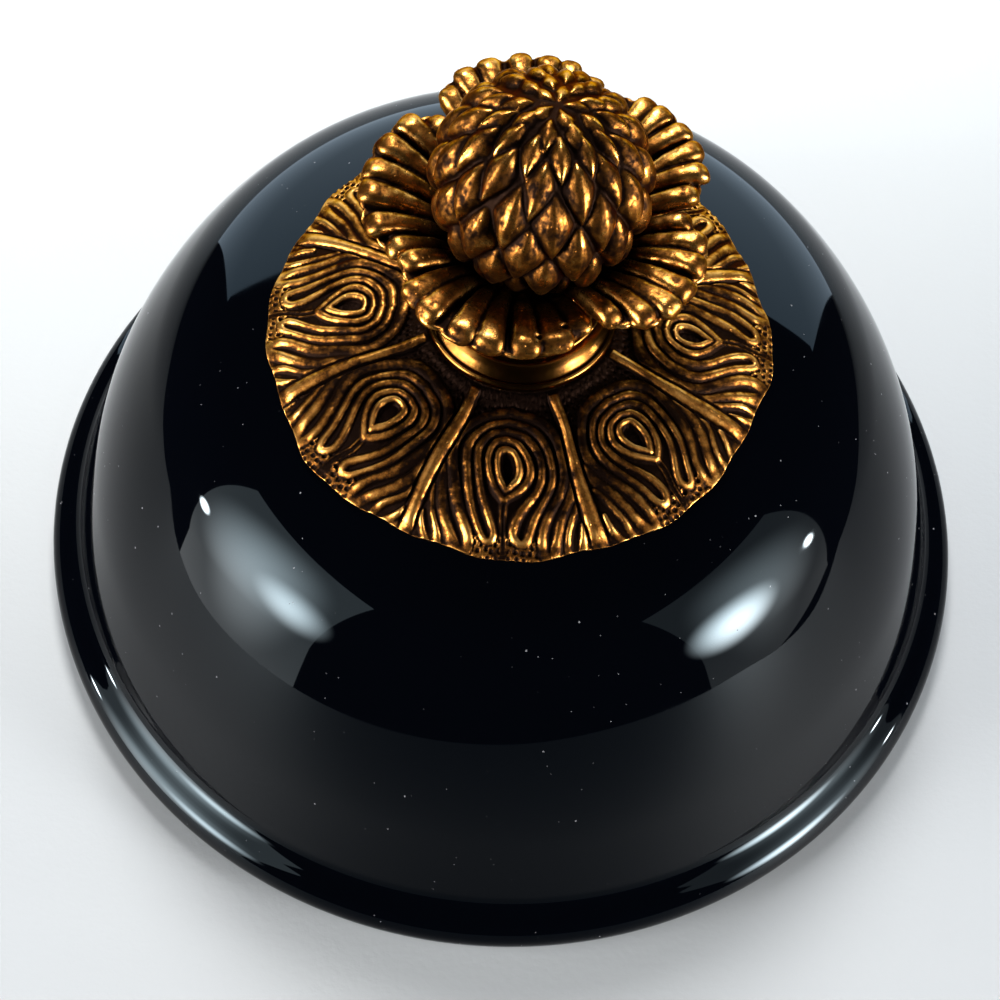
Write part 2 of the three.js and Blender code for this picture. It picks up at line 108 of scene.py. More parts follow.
# the hollow stem between the two halves of a motif
STEM = [(0.0, 32.6), (0.2, 35.0), (0.0, 37.5), (-0.1, 39.9)]
STEM_HALF_WIDTH = 0.42

# Collar and cup
COLLAR_BORE = 4.2
CUP_BORE = 3.4
CUP_FOOT_RADIUS = 12.3
CUP_BELOW_PETALS = 1.5  # from the petals' middle line
CUP_PITS = [(-83.0, 84.6, 0.75), (-57.0, 85.2, 0.7)]  # casting pits: azimuth, height, size
CUP_PIT_DEPTH = 1.3

# Petals
PETAL_ROOT_RADIUS = 8.8
PETAL_ROOT_Z = 93.3
PETAL_ROOT_SLOPE = math.radians(60)
PETAL_ARC = 24.2  # radius of the arc from root to tip
PETAL_TILT = 0.85  # each petal has one side over its neighbour
PETAL_SKINS = (-0.35, -1.1)  # the thin leaf's two faces, from the middle line
FINGER_START = 0.7  # outside the root
FINGER_TIP = 2.2  # length of the rounded tip
FINGER_ENDS = 0.3  # share of the width and height that is left at the tip
FLAT_FINGER = (1.3, 0.8)  # width and height of a finger that came out flat, beside the others
# azimuth of the middle, half angle, tip radius, how much shorter the corners are, number of fingers
# and how many of them came out flat
PETALS = {
    "petal_front": (-106.0, 46.0, 26.8, 6.8, 8, 2),
    "petal_right_front": (-27.5, 32.5, 28.9, 6.8, 7, 0),
    "petal_right_back": (35.5, 30.5, 28.9, 4.8, 7, 0),
    "petal_back": (98.0, 32.0, 28.6, 4.0, 7, 0),
    "petal_left": (169.0, 39.0, 26.4, 6.0, 7, 0),
}
PETAL_PITS = [(-83.0, 23.4, 0.55), (-72.0, 21.6, 0.75)]  # casting pits: azimuth, radius, size
PETAL_PIT_DEPTH = 1.2

# Bud: an egg-shaped core with tiers of scales
BUD_CENTRE = 112.6
BUD_LEAN = math.radians(5)
BUD_LEAN_Z = 97.0
BUD_CORE_RADIUS = 15.2
BUD_CORE_HALF = 16.0
BUD_CORE_FOOT = -62  # elevation
BUD_TIP_BACK = math.radians(9)  # the scales meet a little behind the top
SCALE_COLUMNS = 13
SCALE_TIERS = [-64, -44, -22.5, -1, 20.5, 41.5, 58, 70.5, 80, 90]  # elevations; both ends are only limits
SCALE_HEIGHT = 2.8  # above its own middle line, which lies a little inside the core
SCALE_OVERLAP = 1.12  # reach of a scale's tip, as a share of the way to the next tier's middle
FULL_RING = 0.46  # rings smaller than this share of the widest one hold fewer scales

# All pieces
WELD = 1e-7  # metres within which vertices on the axis are one
CAST_VOXEL = 0.23
CHASING_SIZE = 1.6  # of the low lumps that hand chasing leaves, which are a sum of waves
CHASING_WAVES = 24
PETAL_CHASING = 0.045
BUD_CHASING = 0.05

# Rod, washer, nut and pad inside the dome
THREAD_PITCH = 1.0
THREAD_DEPTH = 0.28
THREAD_PAST_WASHER = 3  # from the washer's underside
ROD_RADIUS = 3.0
WASHER_BORE = 3.4
NUT_BORE = 3.5
PAD_BORE = 3.5

# Colours, some as stops along a value from 0 to 1
GLASS_STOPS = [(0.0, (0.0001, 0.00015, 0.0003)), (1.0, (0.034, 0.034, 0.036))]  # clean and dusty
GLASS_REFLECTION = (0.7, 0.9, 1.0, 1.0)
GILT_EDGE = (0.8, 0.52, 0.3, 1.0)  # colour of the reflection at a flat angle
# antique gilt, from the worn ridges down to the dirt in the grooves; painted shade moves along the same stops
GILT_STOPS = [(0.10, (0.20, 0.098, 0.025)), (0.26, (0.145, 0.063, 0.013)), (0.39, (0.06, 0.022, 0.004)),
              (0.49, (0.016, 0.006, 0.0015)), (0.61, (0.002, 0.001, 0.0007))]
# turned and polished gilt, from clean to tarnished
POLISHED_STOPS = [(0.3, (0.044, 0.02, 0.004)), (0.5, (0.032, 0.013, 0.0025)), (0.7, (0.016, 0.006, 0.002)),
                  (0.9, (0.0035, 0.002, 0.0015))]
BRASS_STOPS = [(0.3, (0.20, 0.13, 0.05)), (0.7, (0.62, 0.45, 0.19))]
LEATHER_STOPS = [(0.3, (0.035, 0.018, 0.009)), (0.7, (0.11, 0.058, 0.028))]
FELT_STOPS = [(0.3, (0.008, 0.008, 0.008)), (0.75, (0.045, 0.042, 0.04))]
# table colour: lit, then in painted shade towards the front right
TABLE_LIT_TO_SHADED = [(0.0, (0.1, 0.101, 0.0985)), (1.0, (0.0605, 0.0635, 0.0655))]

# Table, whose end shows as a line in the glass: azimuth from +Y towards +X, and reach in metres
TABLE_REACH = [(-180, 0.285), (-168, 0.265), (-137, 0.215), (-119, 0.19), (-108, 0.19), (-97, 0.21),
               (-84, 0.27), (-72, 0.42), (-55, 0.9), (-35, 1.1), (35, 1.1), (55, 0.9), (72, 0.42),
               (84, 0.26), (102, 0.2), (115, 0.21), (128, 0.26), (154, 0.31), (180, 0.285)]
TABLE_GAP = 0.05  # millimetres under the rim
TABLE_RINGS = 24
TABLE_MIDDLE = 0.0002  # share of the reach where the innermost ring lies

# Lights, in metres around the middle of the lid
MIDDLE = (0.0, 0.0, 0.06)
BEHIND = (0.0, 0.15, 0.0)
WHITE = (1.0, 1.0, 1.0)
COOL = (0.66, 0.83, 1.0)
WORLD = (0.02, 0.021, 0.024, 1)
LAMP_CENTRE = 2.6  # strength in the middle of a light with a dim edge
# azimuth, elevation, distance, width, height, radiance and strength at the edge
SOFT_LIGHTS = {
    "left_softbox": (-117, 14, 0.7, 0.56, 1.0, 28, 0.25),
    "right_softbox": (110, 15, 0.7, 0.54, 0.92, 11, 0.25),
    "left_bulb": (-129, 11, 0.66, 0.3, 0.38, 52, 0.0),
    "right_bulb": (119, 9, 0.66, 0.34, 0.42, 105, 0.0),
    "left_lamp": (-98, 6.5, 0.66, 0.06, 0.08, 380, 0.0),
    "right_lamp": (94, 8, 0.66, 0.05, 0.075, 380, 0.0),
}

# ---- camera


def make_camera():
    data = bpy.data.cameras.new("camera")
    data.lens = CAMERA_LENS
    data.sensor_width = 36.0
    data.clip_start = 0.01
    camera = bpy.data.objects.new("camera", data)
    bpy.context.scene.collection.objects.link(camera)
    look = Vector(CAMERA_AIM) - Vector(CAMERA_PLACE)
    turn = look.to_track_quat("-Z", "Y").to_matrix().to_4x4()
    roll = Matrix.Rotation(math.radians(CAMERA_ROLL), 4, "Z")
    camera.matrix_world = Matrix.Translation(CAMERA_PLACE) @ turn @ roll
    bpy.context.scene.camera = camera


# ---- mesh tools


def mesh_from(name, vertices, faces):
    """An object from vertices in millimetres, linked and shaded smooth."""
    mesh = bpy.data.meshes.new(name)
    mesh.from_pydata((np.asarray(vertices) * MM).tolist(), [], faces)
    mesh.polygons.foreach_set("use_smooth", [True] * len(mesh.polygons))
    mesh.update()
    piece = bpy.data.objects.new(name, mesh)
    bpy.context.scene.collection.objects.link(piece)
    return piece


def finish_piece(piece, material, node):
    """Gives a piece its material and its place in the frame."""
    piece.data.materials.clear()
    piece.data.materials.append(material)
    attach(piece, "root")
    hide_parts(node)


def store(piece, values):
    """Keeps one number per vertex as the attribute that the gilt materials read."""
    layer = piece.data.attributes.new("patina_and_shade", "FLOAT", "POINT")
    layer.data.foreach_set("value", np.asarray(values, dtype=np.float32))


def read_rows(items, name, width, kind=float):
    flat = np.empty(len(items) * width, dtype=kind)
    items.foreach_get(name, flat)
    return flat.reshape(-1, width)


def positions(piece):
    return read_rows(piece.data.vertices, "co", 3) / MM


def place(piece, points):
    piece.data.vertices.foreach_set("co", (np.asarray(points) * MM).ravel())
    piece.data.update()


def normals(piece):
    return read_rows(piece.data.vertices, "normal", 3)


def edges_of(piece):
    return read_rows(piece.data.edges, "vertices", 2, np.int64)


def smoothed(points, edges, rounds):
    """The vertices drawn halfway to the average of their neighbours, a number of times."""
    count = len(points)
    ends = np.concatenate([edges[:, 0], edges[:, 1]])
    others = np.concatenate([edges[:, 1], edges[:, 0]])
    degree = np.maximum(np.bincount(ends, minlength=count), 1)
    result = points.copy()
    for _ in range(rounds):
        total = np.stack([np.bincount(ends, result[others, axis], count) for axis in range(3)], axis=1)
        result = 0.5 * result + 0.5 * total / degree[:, None]
    return result


def hollows(piece, rounds, depth):
    """One number per vertex: 0 on a ridge, 0.5 on a flat, 1 at the bottom of a groove."""
    points = positions(piece)
    away = smoothed(points, edges_of(piece), rounds) - points
    inward = np.einsum("ij,ij->i", away, normals(piece))
    return np.clip(0.5 + inward / (2 * depth), 0, 1)


def store_hollows(piece):
    store(piece, hollows(piece, rounds=10, depth=0.3))


def store_patina_and_shade(piece, dirt_and_shade):
    """Darker in the fine creases and the wide grooves, where patina gathers, and wherever the given darkening
    puts it; on the petals' ends that is painted shade.
    """
    fine = hollows(piece, rounds=12, depth=0.14)
    wide = hollows(piece, rounds=45, depth=0.42)
    store(piece, np.clip(0.45 * fine + 0.55 * wide + dirt_and_shade, 0, 1))


def revolved(name, outline, segments, shape=None):
    """A body of revolution from a closed outline of (radius, z), counter-clockwise, or from axis to axis.

    shape(radius, z, azimuth) may move the whole grid of vertices and returns (radius, z)."""
    outline = np.asarray(outline, dtype=float)
    rows = len(outline)
    azimuth = np.arange(segments) * 2 * math.pi / segments
    radius = np.repeat(outline[None, :, 0], segments, axis=0)
    z = np.repeat(outline[None, :, 1], segments, axis=0)
    angle = np.repeat(azimuth[:, None], rows, axis=1)
    if shape:
        radius, z = shape(radius, z, angle)
    vertices = np.stack([radius * np.cos(angle), radius * np.sin(angle), z], axis=2).reshape(-1, 3)
    on_axis = outline[0, 0] == 0
    column = np.arange(segments)[:, None]
    row = np.arange(rows - 1 if on_axis else rows)[None, :]
    here, there = column * rows, (column + 1) % segments * rows
    above = (row + 1) % rows
    faces = np.stack([here + row, there + row, there + above, here + above], axis=2).reshape(-1, 4)
    piece = mesh_from(name, vertices, faces.tolist())
    if on_axis:
        bm = bmesh.new()
        bm.from_mesh(piece.data)
        bmesh.ops.remove_doubles(bm, verts=bm.verts, dist=WELD)
        bmesh.ops.dissolve_degenerate(bm, edges=bm.edges, dist=WELD / 10)
        bm.to_mesh(piece.data)
        bm.free()
    return piece


def arc(start, size, from_angle, to_angle, steps, side=1):
    """Points after start on an arc whose outward normal turns between two elevations, in degrees."""
    angles = np.radians(np.linspace(from_angle, to_angle, steps + 1)[1:])
    first = math.radians(from_angle)
    radius = start[0] + side * size * (np.cos(angles) - math.cos(first))
    z = start[1] + side * size * (np.sin(angles) - math.sin(first))
    return list(zip(radius.tolist(), z.tolist()))


def smooth_curve(points, per_span):
    """A Catmull-Rom curve through the points."""
    points = np.asarray(points, dtype=float)
    padded = np.concatenate([2 * points[:1] - points[1:2], points, 2 * points[-1:] - points[-2:-1]])
    t = np.linspace(0, 1, per_span, endpoint=False)[:, None]
    spans = []
    for a, b, c, d in zip(padded, padded[1:], padded[2:], padded[3:]):
        curve = 2 * b + (c - a) * t + (2 * a - 5 * b + 4 * c - d) * t**2 + (3 * b - a - 3 * c + d) * t**3
        spans.append(curve / 2)
    spans.append(points[-1:])
    return np.concatenate(spans)


def blend_step(value, low, high):
    """0 below low, 1 above high and a smooth rise between them."""
    t = np.clip((value - low) / (high - low), 0, 1)
    return t * t * (3 - 2 * t)


def cast(piece):
    """Melts overlapping solids into one skin and softens it, as a casting is."""
    remesh = piece.modifiers.new("remesh", "REMESH")
    remesh.mode = "VOXEL"
    remesh.voxel_size = CAST_VOXEL * MM
    remesh.use_smooth_shade = True
    bpy.context.view_layer.update()
    depsgraph = bpy.context.evaluated_depsgraph_get()
    skin = bpy.data.meshes.new_from_object(piece.evaluated_get(depsgraph), depsgraph=depsgraph)
    piece.modifiers.clear()
    solids = piece.data
    piece.data = skin
    bpy.data.meshes.remove(solids)
    skin.name = piece.name
    place(piece, smoothed(positions(piece), edges_of(piece), rounds=1))


def limb(path, side, up, half_width, half_height, sides, power):
    """Vertices and faces of a closed rod along a path, in millimetres.

    The section is an oval at power 1, boxier below 1 and keeled above it."""
    turn = np.arange(sides) * 2 * math.pi / sides
    across = np.sign(np.cos(turn)) * np.abs(np.cos(turn)) ** power
    rise = np.sign(np.sin(turn)) * np.abs(np.sin(turn)) ** power
    ring = (
        path[:, None]
        + side[:, None] * (half_width[:, None] * across)[..., None]
        + up[:, None] * (half_height[:, None] * rise)[..., None]
    )
    vertices = ring.reshape(-1, 3)
    rows = len(path)
    row = np.arange(rows - 1)[:, None] * sides
    here = np.arange(sides)[None, :]
    after = (here + 1) % sides
    corners = [row + here, row + after, row + sides + after, row + sides + here]
    faces = [tuple(face) for face in np.stack(corners, axis=2).reshape(-1, 4).tolist()]
    faces.append(tuple(range(sides - 1, -1, -1)))
    faces.append(tuple((rows - 1) * sides + index for index in range(sides)))
    return vertices, faces


def roughen(piece, depth, generator):
    """Low irregular lumps, as on hand-chased metal."""
    points = positions(piece)
    height = np.zeros(len(points))
    for _ in range(CHASING_WAVES):
        direction = generator.normal(size=3)
        wavelength = CHASING_SIZE * 2 * generator.uniform(0.6, 1.6)
        direction *= 2 * math.pi / (wavelength * np.linalg.norm(direction))
        height += np.sin(points @ direction + generator.uniform(0, 6.3))
    place(piece, points + normals(piece) * (height * depth / math.sqrt(CHASING_WAVES))[:, None])


def joined(name, parts):
    """One object from several (vertices, faces) solids."""
    vertices, faces, offset = [], [], 0
    for points, polygons in parts:
        vertices.append(points)
        faces += [tuple(index + offset for index in polygon) for polygon in polygons]
        offset += len(points)
    piece = mesh_from(name, np.concatenate(vertices), faces)
    bm = bmesh.new()
    bm.from_mesh(piece.data)
    bmesh.ops.recalc_face_normals(bm, faces=bm.faces)
    bm.to_mesh(piece.data)
    bm.free()
    return piece


# ---- materials


class Nodes:
    """Short calls for building one material's node tree."""

    def __init__(self, name):
        self.material = bpy.data.materials.new(name)
        self.material.use_nodes = True
        self.tree = self.material.node_tree
        self.shader = self.tree.nodes["Principled BSDF"]
        self.place = self.add("ShaderNodeTexCoord").outputs["Object"]

    def add(self, kind, **settings):
        node = self.tree.nodes.new(kind)
        for key, value in settings.items():
            setattr(node, key, value)
        return node

    def link(self, output, socket):
        self.tree.links.new(output, socket)

    def feed(self, socket, value):
        if isinstance(value, bpy.types.NodeSocket):
            self.link(value, socket)
        else:
            socket.default_value = value

    def set(self, name, value):
        """A number or colour all over the surface, or a node's output."""
        self.feed(self.shader.inputs[name], value)

    def patina_and_shade(self):
        return self.add("ShaderNodeAttribute", attribute_name="patina_and_shade").outputs["Fac"]

    def noise(self, size, detail, roughness=0.55):
        """Noise whose lumps are about size millimetres across."""
        node = self.add("ShaderNodeTexNoise")
        node.inputs["Scale"].default_value = 1 / (size * MM)
        node.inputs["Detail"].default_value = detail
        node.inputs["Roughness"].default_value = roughness
        self.link(self.place, node.inputs["Vector"])
        return node.outputs["Fac"]

    def cells(self, size):
        """Distance to scattered points that are about size millimetres apart."""
        node = self.add("ShaderNodeTexVoronoi")
        node.inputs["Scale"].default_value = 1 / (size * MM)
        self.link(self.place, node.inputs["Vector"])
        return node.outputs["Distance"]

    def math(self, kind, first, second):
        node = self.add("ShaderNodeMath", operation=kind)
        self.feed(node.inputs[0], first)
        self.feed(node.inputs[1], second)
        return node.outputs[0]

    def swing(self, value, amount):
        """A value around 0.5 as one around 0, times an amount."""
        return self.math("MULTIPLY", self.math("SUBTRACT", value, 0.5), amount)

    def span(self, value, low, high, to_low=0.0, to_high=1.0):
        """A smooth change from one number to another as value goes from low to high."""
        node = self.add("ShaderNodeMapRange", interpolation_type="SMOOTHSTEP")
        self.feed(node.inputs["Value"], value)
        for key, number in (("From Min", low), ("From Max", high), ("To Min", to_low), ("To Max", to_high)):
            node.inputs[key].default_value = number
        return node.outputs["Result"]

    def ramp(self, value, stops):
        node = self.add("ShaderNodeValToRGB")
        ramp = node.color_ramp
        while len(ramp.elements) < len(stops):
            ramp.elements.new(0.5)
        for element, (position, colour) in zip(ramp.elements, stops):
            element.position = position
            element.color = (*colour, 1.0)
        self.feed(node.inputs["Fac"], value)
        return node.outputs["Color"]

    def bump(self, height, depth):
        """Bump of a height from 0 to 1 that stands for depth millimetres."""
        node = self.add("ShaderNodeBump")
        node.inputs["Strength"].default_value = 1.0
        node.inputs["Distance"].default_value = depth * MM
        self.link(height, node.inputs["Height"])
        self.set("Normal", node.outputs["Normal"])


def black_glass():
    """Polished black glass with faint smudges and specks of dust, thicker in patches."""
    nodes = Nodes("black_glass")
    smudge = nodes.span(nodes.noise(size=14, detail=5), 0.45, 0.75)
    speck = nodes.span(nodes.cells(size=4.5), 0.042, 0.025)
    fine_speck = nodes.span(nodes.cells(size=1.9), 0.06, 0.035)
    patch = nodes.span(nodes.noise(size=22, detail=2), 0.48, 0.6)
    dust = nodes.math("MAXIMUM", speck, nodes.math("MULTIPLY", fine_speck, patch))
    nodes.set("Base Color", nodes.ramp(dust, GLASS_STOPS))
    roughness = nodes.math("ADD", nodes.math("MULTIPLY", smudge, 0.035), 0.025)
    nodes.set("Roughness", nodes.math("ADD", roughness, nodes.math("MULTIPLY", dust, 0.4)))
    nodes.set("IOR", 1.5)
    nodes.set("Specular IOR Level", 0.052)
    nodes.set("Specular Tint", GLASS_REFLECTION)
    return nodes.material


def antique_gilt(name, polish, wear=0.0, grain=0.9):
    """Cast gilding: bright on the ridges, brown on the flats and nearly black in the grooves.

    polish is the clean metal's roughness, wear bares more of it and grain is its bumps' size."""
    nodes = Nodes(name)
    blotch = nodes.noise(size=3.2, detail=5, roughness=0.6)
    mottle = nodes.noise(size=0.9, detail=4, roughness=0.6)
    shift = nodes.math("ADD", nodes.swing(blotch, 1.0), nodes.swing(mottle, 0.6))
    depth = nodes.math("ADD", nodes.math("ADD", nodes.patina_and_shade(), shift), -wear)
    nodes.set("Base Color", nodes.ramp(depth, GILT_STOPS))
    dirt_and_shade = nodes.span(depth, 0.25, 0.65, polish, 0.45)
    nodes.set("Roughness", nodes.math("ADD", dirt_and_shade, nodes.math("MULTIPLY", mottle, 0.2)))
    nodes.set("Metallic", 1.0)
    nodes.set("Specular Tint", GILT_EDGE)
    pores = nodes.span(nodes.cells(size=1.6), 0.14, 0.05)
    nodes.bump(nodes.math("SUBTRACT", nodes.noise(grain, detail=3), pores), depth=0.06)
    return nodes.material


def bright_gilt():
    """Turned and polished gilt under an uneven film of tarnish."""
    nodes = Nodes("bright_gilt")
    tarnish = nodes.noise(size=2.6, detail=5, roughness=0.65)
    film = nodes.math("ADD", nodes.patina_and_shade(), nodes.swing(tarnish, 0.9))
    nodes.set("Base Color", nodes.ramp(film, POLISHED_STOPS))
    nodes.set("Roughness", nodes.math("ADD", nodes.math("MULTIPLY", tarnish, 0.2), 0.08))
    nodes.set("Metallic", 1.0)
    nodes.set("Specular Tint", GILT_EDGE)
    nodes.bump(nodes.noise(size=0.8, detail=3), depth=0.02)
    return nodes.material


def dull_brass():
    nodes = Nodes("dull_brass")
    tarnish = nodes.noise(size=1.8, detail=5, roughness=0.65)
    nodes.set("Base Color", nodes.ramp(tarnish, BRASS_STOPS))
    nodes.set("Roughness", nodes.span(tarnish, 0.3, 0.7, 0.55, 0.32))
    nodes.set("Metallic", 1.0)
    nodes.bump(nodes.noise(size=0.25, detail=3), depth=0.02)
    return nodes.material


def brown_leather():
    nodes = Nodes("brown_leather")
    stain = nodes.noise(size=4, detail=4)
    nodes.set("Base Color", nodes.ramp(stain, LEATHER_STOPS))
    nodes.set("Roughness", 0.72)
    nodes.bump(nodes.cells(size=0.7), depth=0.12)
    return nodes.material


def black_felt():
    nodes = Nodes("black_felt")
    fuzz = nodes.noise(size=0.3, detail=5, roughness=0.7)
    nodes.set("Base Color", nodes.ramp(fuzz, FELT_STOPS))
    nodes.set("Roughness", 0.95)
    nodes.set("Sheen Weight", 0.4)
    nodes.bump(fuzz, depth=0.15)
    return nodes.material


def pale_floor():
    """A pale table with painted shade: a little darker towards the front right, where less light falls."""
    nodes = Nodes("pale_floor")
    axes = nodes.add("ShaderNodeSeparateXYZ")
    nodes.link(nodes.place, axes.inputs[0])
    # painted shade: darker towards the front right, with random mottling on top
    sideways = nodes.math("MULTIPLY", axes.outputs["X"], 0.3)
    towards_front = nodes.math("SUBTRACT", sideways, axes.outputs["Y"])
    mottle = nodes.swing(nodes.noise(size=60, detail=4), 0.15)
    shade = nodes.math("ADD", nodes.span(towards_front, -0.12, 0.05), mottle)
    nodes.set("Base Color", nodes.ramp(shade, TABLE_LIT_TO_SHADED))
    nodes.set("Roughness", 0.6)
    nodes.bump(nodes.noise(size=1.5, detail=4), depth=0.05)
    return nodes.material


# ---- black glass dome


def extent(node, axis=0):
    """A CAD node's reach from the middle along an axis, its bottom and its top, in millimetres."""
    low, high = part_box(node)
    return high[axis] / MM, low[2] / MM, high[2] / MM


CROWN_Z = extent("lid_shell")[2] + CROWN_RADIUS - math.sqrt(CROWN_RADIUS**2 - CROWN_HOLE_RADIUS**2)


def on_glass(radius, offset=0.0):
    """An outline's point on the crown's sphere, or at an even distance from it."""
    size = CROWN_RADIUS + offset
    return radius, CROWN_Z - CROWN_RADIUS + math.sqrt(size * size - radius * radius)


def straight(start, angle, length, steps):
    """Points after start on a line whose outward normal has that elevation."""
    slope = math.radians(angle)
    return [(start[0] + length * math.sin(slope) * step / steps,
             start[1] - length * math.cos(slope) * step / steps) for step in range(1, steps + 1)]


def dome_line(depth, steps):
    """The dome from the axis to the foot of its wall, or a line at an even depth below it."""
    line = [(0.0, CROWN_Z - depth)]
    line += arc(line[-1], CROWN_RADIUS - depth, 90, CROWN_END, steps)
    line += arc(line[-1], SHOULDER_RADIUS - depth, CROWN_END, SHOULDER_END, steps)
    line += arc(line[-1], SIDE_RADIUS - depth, SHOULDER_END, SIDE_END, steps)
    return line + straight(line[-1], SIDE_END, SIDE_STRAIGHT, steps // 2)


def past_hole(line):
    """The points of a line that lie clear of the bevelled hole in the crown."""
    return [point for point in line if point[0] > CROWN_HOLE_RADIUS + GLASS_BEVEL + 0.1]


def lid_shell():
    outer = dome_line(depth=0, steps=28)
    outer += arc(outer[-1], ROLL_RADIUS, SIDE_END, RIM_TOP, steps=12, side=-1)
    outer += straight(outer[-1], RIM_TOP, RIM_FLAT, steps=2)
    outer += arc(outer[-1], ROLL_RADIUS, RIM_TOP, -90, steps=28)
    inner = dome_line(depth=GLASS_WALL, steps=20)
    foot = FOOT_INNER_RADIUS
    foot_edge = [(foot + FOOT_ROUND, 0.0), (foot + 0.25, 0.2), (foot, FOOT_ROUND), (foot, inner[-1][1])]
    hole = CROWN_HOLE_RADIUS
    top_edge = [on_glass(hole, -GLASS_BEVEL), on_glass(hole + GLASS_BEVEL)]
    under_edge = [on_glass(hole + GLASS_BEVEL, -GLASS_WALL), on_glass(hole, GLASS_BEVEL - GLASS_WALL)]
    outline = top_edge + past_hole(outer) + foot_edge + past_hole(inner)[:-1][::-1] + under_edge
    piece = revolved("lid_shell_glass", outline[::-1], SHELL_SEGMENTS)
    finish_piece(piece, black_glass(), "lid_shell")


# ---- rosette


def band_distance(across, out, line):
    """Distance from points to a curve."""
    nearest = np.full(across.shape, np.inf)
    for x, y in smooth_curve(line, per_span=14):
        nearest = np.minimum(nearest, (across - x) ** 2 + (out - y) ** 2)
    return np.sqrt(nearest)


def band_height(distance, half_width, foot, crown):
    """A raised band: foot is how far its wall slopes out, crown how much its top is rounded."""
    wall = 1 - blend_step(distance, half_width - 0.1, half_width + foot)
    return wall * (1 - crown * np.clip(distance / half_width, 0, 1) ** 2)


def punch_marks(across, out, pitch, size, generator):
    """Depth of small round punch marks on an uneven grid."""
    low_x, low_y = across.min(), out.min()
    depth = np.zeros(across.shape)
    for row in range(int((out.max() - low_y) / pitch) + 2):
        for column in range(int((across.max() - low_x) / pitch) + 2):
            jitter = generator.uniform(-0.22, 0.22, 2) * pitch
            x = low_x + (column + 0.5 * (row % 2)) * pitch + jitter[0]
            y = low_y + row * pitch + jitter[1]
            far = np.hypot(across - x, out - y)
            depth = np.maximum(depth, 1 - blend_step(far, size * 0.45, size))
    return depth


def hand_drawn(across, out, generator):
    """Points moved a little, so that each motif is different, as hand work is."""
    stretch_x, stretch_y = 1 + generator.uniform(-0.05, 0.05, 2)
    tilt = generator.uniform(-0.05, 0.05)
    wobble = 0.3 * np.sin(out * 0.55 + generator.uniform(0, 6))
    wobble += 0.2 * np.sin(across * 0.6 + generator.uniform(0, 6))
    fade = blend_step(40 - out, 0, 6)  # keeps the tips within the rosette's edge
    x = across / stretch_x - tilt * (out - MOTIF_CENTRE) + wobble
    y = MOTIF_CENTRE + (out - MOTIF_CENTRE) / (1 + (stretch_y - 1) * fade) + 0.6 * wobble * fade
    return x, y


def motif_relief(across, out, generator):
    """Height of one motif over the ground, about 0 to 1."""
    x, y = hand_drawn(across, out, generator)
    half = np.abs(x)
    raised = np.zeros(x.shape)
    for number, (half_width, line) in enumerate(BANDS):
        level = 1 - 0.09 * number * (1 - blend_step(y, 30, 37))  # outer bands lie lower, but not their tips
        band = band_height(band_distance(half, y, line), half_width, foot=0.18, crown=0.4)
        raised = np.maximum(raised, level * band)
    stem_wall = np.abs(band_distance(x, y, STEM) - STEM_HALF_WIDTH)
    raised = np.maximum(raised, 0.6 * (1 - blend_step(stem_wall, 0.1, 0.3)))
    eye = 0.6 * (1 - blend_step(np.hypot(x, (y - 27.2) / 1.9), 0.55, 1.0))
    disc = 1 - blend_step(np.hypot(x / 8.6, (y - MOTIF_CENTRE) / 9.0), 0.85, 1.0)
    ground = np.maximum(0.08 * disc, 0.4 * blend_step(y, MOTIF_CENTRE, 34))
    stippled = (out < STIPPLE_END) & (raised < 0.2)
    matted = (half > 0.5) & (half < 5.2) & (y > 37.6) & (raised < 0.3)
    if stippled.any():
        ground[stippled] += 0.2 - 0.3 * punch_marks(x[stippled], y[stippled], *STIPPLE_PUNCH, generator)
    if matted.any():
        ground[matted] = 0.7 - 0.7 * punch_marks(x[matted], y[matted], *MATTING_PUNCH, generator)
    return np.maximum(raised, ground) - eye


def rosette_relief(radius, azimuth, generator):
    """Height of the rosette over its ground: a motif in each sector, a rib on each border."""
    pitch = 2 * math.pi / MOTIFS
    turn = azimuth + math.pi / 2 + pitch / 2
    number = np.floor(turn / pitch).astype(int) % MOTIFS
    offset = turn - pitch * np.floor(turn / pitch) - pitch / 2
    height = np.zeros(radius.shape)
    for motif in range(MOTIFS):
        inside = number == motif
        across = radius[inside] * np.sin(offset[inside])
        out = radius[inside] * np.cos(offset[inside])
        height[inside] = motif_relief(across, out, generator)
    sway = 0.35 * np.sin(radius * 0.24 + number) * blend_step(radius, 16, 22)
    rib = np.abs((np.abs(offset) - pitch / 2) * radius + sway * np.sign(offset))
    rib_half = RIB_HALF_WIDTH + 0.014 * (radius - 15)  # wider outwards
    bar = band_height(rib, rib_half, foot=0.25, crown=0.35)
    bar *= blend_step(radius, RIB_START, RIB_START + 1) * blend_step(RIB_END - radius, 0, 2.5)
    crease = blend_step(rib, rib_half + 0.15, rib_half + 0.55)
    return np.maximum(height * crease, 1.05 * bar)


